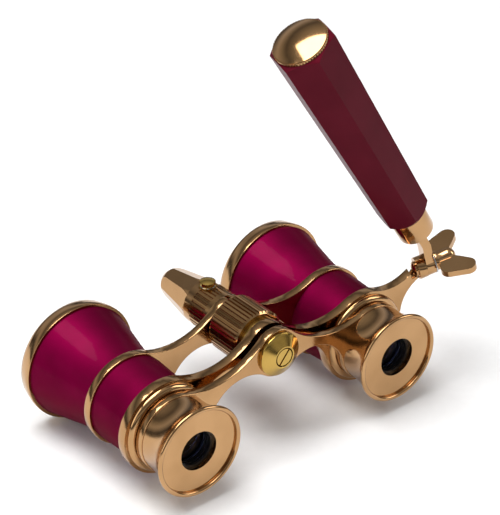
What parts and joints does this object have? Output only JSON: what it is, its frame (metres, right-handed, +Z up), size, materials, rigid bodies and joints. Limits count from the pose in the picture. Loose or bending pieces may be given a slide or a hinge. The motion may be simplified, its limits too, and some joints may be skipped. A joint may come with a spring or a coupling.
{
  "type": "opera glasses",
  "caption": "Small binocular opera glasses with centre focusing wheel, built-in torch and a folding telescopic side handle.",
  "frame": {"origin": "midway between the two barrel axes, in the plane of the eyecups' flat faces", "axes": "+X towards the user's right, +Y from the eyepieces to the objectives, along the barrels, +Z up, towards the focusing wheel"},
  "size_m": [0.1122, 0.0546, 0.1095],
  "materials": {
    "gilt": "polished rose gilt",
    "brass": "polished yellow brass",
    "enamel": "metallic burgundy enamel",
    "lacquer": "dark burgundy gloss lacquer",
    "tube_metal": "satin",
    "steel": "satin",
    "black_metal": "black anodised",
    "black_plastic": "matte",
    "lamp_plastic": "gloss",
    "board": "satin",
    "lens_glass": "clear"
  },
  "bodies": {
    "frame": {"front_bridge": "gilt", "rear_bridge": "gilt", "barrel_tube_left": "tube_metal", "barrel_tube_right": "tube_metal", "rear_shell_left": "enamel", "rear_shell_right": "enamel", "front_shell_left": "enamel", "front_shell_right": "enamel", "guide_collar_left": "gilt", "guide_collar_right": "gilt", "bezel_left": "gilt", "bezel_right": "gilt", "objective_lens_left": "lens_glass", "objective_lens_right": "lens_glass", "objective_ring_left": "black_metal", "objective_ring_right": "black_metal", "thrust_washer": "steel", "drag_washer": "brass", "torch_body": "gilt", "torch_nose": "gilt", "torch_window": "lens_glass", "torch_led": "lamp_plastic", "led_board": "board", "cell_1": "steel", "cell_2": "steel", "cell_3": "steel", "contact_spring": "brass", "button_seat": "brass", "button_spring": "steel", "pivot_pin": "gilt"},
    "wheel": {"focus_wheel": "gilt", "wheel_bush": "brass"},
    "carriage": {"eyepiece_bridge": "gilt", "eyecup_left": "gilt", "eyecup_right": "gilt", "draw_tube_left": "tube_metal", "draw_tube_right": "tube_metal", "ocular_cell_left": "black_metal", "ocular_cell_right": "black_metal", "ocular_lens_left": "lens_glass", "ocular_lens_right": "lens_glass", "ocular_ring_left": "black_metal", "ocular_ring_right": "black_metal", "focus_spindle": "brass", "cone_nut": "brass"},
    "button": {"torch_button": "brass"},
    "handle": {"handle_tang": "gilt", "joint_washer": "steel", "ferrule": "gilt", "slide_tube": "tube_metal", "slide_collar": "black_plastic"},
    "grip": {"grip_shell": "lacquer", "grip_bush": "black_plastic", "end_cap": "gilt"},
    "wing": {"wing_nut": "gilt"}
  },
  "joints": [
    {"name": "wheel_turn", "type": "hinge", "parent": "frame", "child": "wheel", "pos_m": [0, 0.022, 0.01], "axis": [0, 1, 0], "range_deg": [0, 541]},
    {"name": "eyepiece_travel", "type": "slide", "parent": "frame", "child": "carriage", "axis": [0, -1, 0], "range_m": [0, 0.006]},
    {"name": "button_press", "type": "slide", "parent": "frame", "child": "button", "axis": [0, 0, -1], "range_m": [0, 0.0004], "deforming": ["button_spring"]},
    {"name": "handle_fold", "type": "hinge", "parent": "frame", "child": "handle", "pos_m": [0.0527, 0.012, 0.01395], "axis": [0.9076, -0.3355, 0.2525], "range_deg": [-180, 0]},
    {"name": "grip_extend", "type": "slide", "parent": "handle", "child": "grip", "axis": [-0.5165, 0, 0.8563], "range_m": [0, 0.045]},
    {"name": "wing_turn", "type": "hinge", "parent": "frame", "child": "wing", "pos_m": [0.0527, 0.012, 0.01395], "axis": [0.9076, -0.3355, 0.2525], "range_deg": [-180, 180]}
  ],
  "couplings": [
    {"joint": "wheel_turn", "follows": "eyepiece_travel", "rad_per_m": 1570.8}
  ]
}
